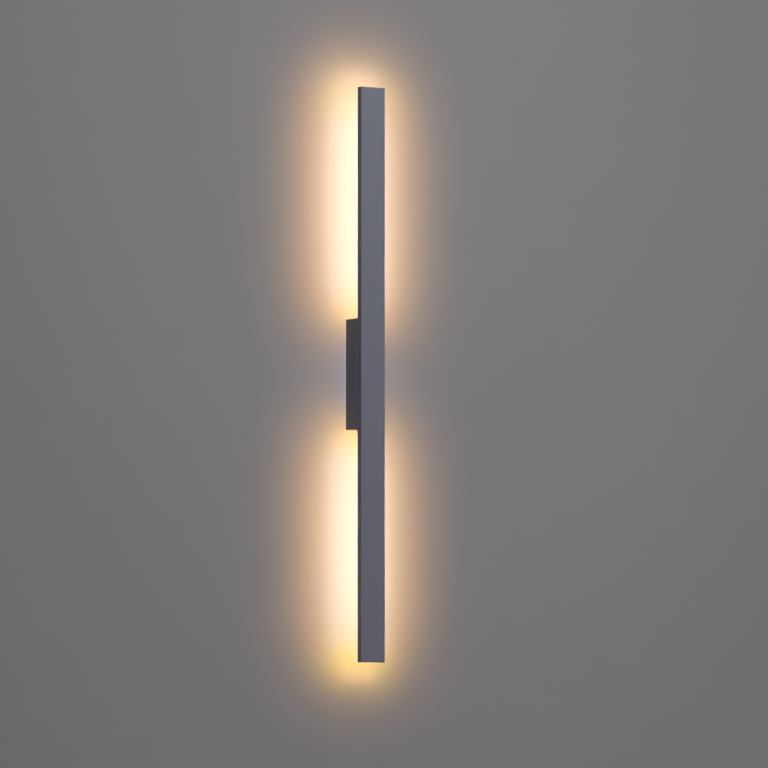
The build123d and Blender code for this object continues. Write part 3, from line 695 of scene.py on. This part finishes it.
def screwTree(settings):
    # One screw stands with its head's outer face at the origin and its tip along +Z, and then goes to each
    # seed point, turned to the point's aim.
    tree, put = newTree("screws", {
        "Head Radius": "Float", "Under Radius": "Float", "Head Height": "Float", "Bevel": "Float",
        "Shank Radius": "Float", "Length": "Float", "Pitch": "Float", "Sides": "Int", "Material": "Material",
    })
    depth = addNode(
        tree, "ShaderNodeMath", {"operation": "MULTIPLY", 1: settings["depthPerPitch"]}, {0: put["Pitch"]}
    )
    core = addNode(tree, "ShaderNodeMath", {"operation": "SUBTRACT"}, {0: put["Shank Radius"], 1: depth})

    rimRadius = addNode(tree, "ShaderNodeMath", {"operation": "SUBTRACT"}, {0: put["Head Radius"], 1: put["Bevel"]})
    rim = addNode(tree, "GeometryNodeMeshCone", links={
        "Vertices": put["Sides"], "Radius Bottom": rimRadius, "Radius Top": put["Head Radius"],
        "Depth": put["Bevel"],
    })
    headRest = addNode(tree, "ShaderNodeMath", {"operation": "SUBTRACT"}, {0: put["Head Height"], 1: put["Bevel"]})
    head = addNode(tree, "GeometryNodeMeshCone", links={
        "Vertices": put["Sides"], "Radius Bottom": put["Head Radius"], "Radius Top": put["Under Radius"],
        "Depth": headRest,
    })
    shankRest = addNode(tree, "ShaderNodeMath", {"operation": "SUBTRACT"}, {0: put["Length"], 1: put["Bevel"]})
    shank = addNode(tree, "GeometryNodeMeshCone", links={
        "Vertices": put["Sides"], "Radius Bottom": core, "Radius Top": core, "Depth": shankRest,
    })
    bevelLift = addNode(tree, "ShaderNodeCombineXYZ", links={"Z": put["Bevel"]})
    headUp = addNode(tree, "GeometryNodeTransform", links={"Geometry": head, "Translation": bevelLift})
    shankUp = addNode(tree, "GeometryNodeTransform", links={"Geometry": shank, "Translation": bevelLift})
    body = addNode(
        tree, "GeometryNodeMeshBoolean", {"operation": "UNION", "solver": "EXACT"},
        {"Mesh 2": [rim, headUp, shankUp]},
    )

    hexRadius = addNode(
        tree, "ShaderNodeMath", {"operation": "MULTIPLY", 1: settings["socketShare"]}, {0: put["Head Radius"]}
    )
    hexDepth = addNode(
        tree, "ShaderNodeMath", {"operation": "MULTIPLY", 1: settings["socketDepth"]}, {0: put["Head Radius"]}
    )
    cutter = addNode(tree, "GeometryNodeMeshCylinder", {"Vertices": 6}, {"Radius": hexRadius, "Depth": hexDepth})
    # The cutter's middle stays on the head's face, so it is made twice as tall.
    cutterTall = addNode(
        tree, "GeometryNodeTransform", {"Scale": (1.0, 1.0, 2.0)}, {"Geometry": cutter}
    )
    opened = addNode(
        tree, "GeometryNodeMeshBoolean", {"operation": "DIFFERENCE", "solver": "EXACT"},
        {"Mesh 1": body, "Mesh 2": cutterTall},
    )

    shankRun = addNode(tree, "ShaderNodeMath", {"operation": "SUBTRACT"}, {0: put["Length"], 1: put["Head Height"]})
    threadRun = addNode(tree, "ShaderNodeMath", {"operation": "SUBTRACT"}, {0: shankRun, 1: put["Pitch"]})
    turns = addNode(tree, "ShaderNodeMath", {"operation": "DIVIDE"}, {0: threadRun, 1: put["Pitch"]})
    helix = addNode(tree, "GeometryNodeCurveSpiral", {"Resolution": settings["steps"]}, {
        "Rotations": turns, "Start Radius": core, "End Radius": core, "Height": threadRun,
    })
    ridge = addNode(tree, "GeometryNodeCurvePrimitiveCircle", {"Resolution": 4}, {"Radius": depth})
    thread = addNode(
        tree, "GeometryNodeCurveToMesh", {"Fill Caps": True}, {"Curve": helix, "Profile Curve": ridge}
    )
    threadStart = addNode(
        tree, "ShaderNodeMath", {"operation": "MULTIPLY_ADD", 1: 0.5}, {0: put["Pitch"], 2: put["Head Height"]}
    )
    threadLift = addNode(tree, "ShaderNodeCombineXYZ", links={"Z": threadStart})
    threadUp = addNode(tree, "GeometryNodeTransform", links={"Geometry": thread, "Translation": threadLift})

    whole = addNode(tree, "GeometryNodeJoinGeometry", links={0: [opened, threadUp]})
    aim = addNode(tree, "GeometryNodeInputNamedAttribute", {"data_type": "FLOAT_VECTOR", "Name": "aim"})
    turn = addNode(tree, "FunctionNodeAlignRotationToVector", {"axis": "Z"}, {"Vector": aim})
    screws = addNode(
        tree, "GeometryNodeInstanceOnPoints", links={"Points": put["Geometry"], "Instance": whole, "Rotation": turn}
    )
    real = addNode(tree, "GeometryNodeRealizeInstances", links={"Geometry": screws})
    finish = addNode(tree, "GeometryNodeSetMaterial", links={"Geometry": real, "Material": put["Material"]})
    addNode(tree, "NodeGroupOutput", links={0: finish})
    return tree


def screwSeeds(nodeName, alongBar):
    # Each head's outer face and the way the screw points, from the CAD's own solids: along the bar they point
    # at its middle, and the others point at the front.
    places, aims = [], []
    for low, high in solidBoxes(nodeName):
        middle = (low + high) / 2
        if alongBar:
            aims.append((0, 0, -1 if middle.z > 0 else 1))
            places.append((middle.x, middle.y, high.z if middle.z > 0 else low.z))
        else:
            aims.append((0, -1, 0))
            places.append((middle.x, high.y, middle.z))
    return places, aims


def addScrews(sets, settings):
    tree = screwTree(settings)
    for nodeName, one in sets.items():
        places, aims = screwSeeds(nodeName, one["alongBar"])
        values = {
            "Head Radius": one["headRadius"], "Under Radius": one["underRadius"],
            "Head Height": one["headHeight"], "Bevel": one["bevel"], "Shank Radius": one["shankRadius"],
            "Length": one["length"], "Pitch": one["pitch"], "Sides": settings["sides"],
            "Material": finishes[one["finish"]],
        }
        piece = growPiece("threaded_" + nodeName, tree, values, places, aims)
        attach(piece, "root")
        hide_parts(nodeName)
        print(nodeName, len(places), "screws,", len(piece.data.polygons), "faces")


addScrews(screwSets, threadSet)

# LED packages: a white frame round a phosphor window, one in the place of each of the CAD's chips.
packageSet = dict(rim=0.0004, sink=0.00012, bite=0.00003)


def packageTree():
    # One package has its middle at the origin and its light side towards +Y. The gel bites a little into the
    # frame all round, so that no two faces lie on each other.
    tree, put = newTree("ledPackages", {
        "Size": "Vector", "Rim": "Float", "Sink": "Float", "Bite": "Float", "Frame": "Material",
        "Window": "Material",
    })
    size = addNode(tree, "ShaderNodeSeparateXYZ", links={"Vector": put["Size"]}).outputs
    innerX = addNode(
        tree, "ShaderNodeMath", {"operation": "MULTIPLY_ADD", 1: -2.0}, {0: put["Rim"], 2: size["X"]}
    )
    innerZ = addNode(
        tree, "ShaderNodeMath", {"operation": "MULTIPLY_ADD", 1: -2.0}, {0: put["Rim"], 2: size["Z"]}
    )
    half = addNode(tree, "ShaderNodeMath", {"operation": "MULTIPLY", 1: 0.5}, {0: size["Y"]})
    block = addNode(tree, "GeometryNodeMeshCube", links={"Size": put["Size"]})
    pocketSize = addNode(tree, "ShaderNodeCombineXYZ", links={"X": innerX, "Y": size["Y"], "Z": innerZ})
    pocket = addNode(tree, "GeometryNodeMeshCube", links={"Size": pocketSize})
    pocketLift = addNode(tree, "ShaderNodeCombineXYZ", links={"Y": half})
    pocketUp = addNode(tree, "GeometryNodeTransform", links={"Geometry": pocket, "Translation": pocketLift})
    bowl = addNode(
        tree, "GeometryNodeMeshBoolean", {"operation": "DIFFERENCE", "solver": "EXACT"},
        {"Mesh 1": block, "Mesh 2": pocketUp},
    )
    white = addNode(tree, "GeometryNodeSetMaterial", links={"Geometry": bowl, "Material": put["Frame"]})
    gelX = addNode(tree, "ShaderNodeMath", {"operation": "MULTIPLY_ADD", 1: 2.0}, {0: put["Bite"], 2: innerX})
    gelZ = addNode(tree, "ShaderNodeMath", {"operation": "MULTIPLY_ADD", 1: 2.0}, {0: put["Bite"], 2: innerZ})
    gelTop = addNode(tree, "ShaderNodeMath", {"operation": "SUBTRACT"}, {0: half, 1: put["Sink"]})
    gelDepth = addNode(tree, "ShaderNodeMath", {"operation": "ADD"}, {0: gelTop, 1: put["Bite"]})
    gelSize = addNode(tree, "ShaderNodeCombineXYZ", links={"X": gelX, "Y": gelDepth, "Z": gelZ})
    gel = addNode(tree, "GeometryNodeMeshCube", links={"Size": gelSize})
    gelMiddle = addNode(tree, "ShaderNodeMath", {"operation": "MULTIPLY_ADD", 1: -0.5}, {0: gelDepth, 2: gelTop})
    gelLift = addNode(tree, "ShaderNodeCombineXYZ", links={"Y": gelMiddle})
    gelUp = addNode(tree, "GeometryNodeTransform", links={"Geometry": gel, "Translation": gelLift})
    yellow = addNode(tree, "GeometryNodeSetMaterial", links={"Geometry": gelUp, "Material": put["Window"]})
    both = addNode(tree, "GeometryNodeJoinGeometry", links={0: [white, yellow]})
    row = addNode(tree, "GeometryNodeInstanceOnPoints", links={"Points": put["Geometry"], "Instance": both})
    real = addNode(tree, "GeometryNodeRealizeInstances", links={"Geometry": row})
    addNode(tree, "NodeGroupOutput", links={0: real})
    return tree


def addPackages(settings):
    tree = packageTree()
    for nodeName in ("upper_led_chips", "lower_led_chips"):
        boxes = solidBoxes(nodeName)
        values = {
            "Size": boxes[0][1] - boxes[0][0], "Rim": settings["rim"], "Sink": settings["sink"],
            "Bite": settings["bite"], "Frame": finishes["whiteNylon"], "Window": finishes["phosphorSilicone"],
        }
        places = [(low + high) / 2 for low, high in boxes]
        piece = growPiece("packaged_" + nodeName, tree, values, places)
        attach(piece, "root")
        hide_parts(nodeName)
        print(nodeName, len(places), "packages,", len(piece.data.polygons), "faces")


addPackages(packageSet)
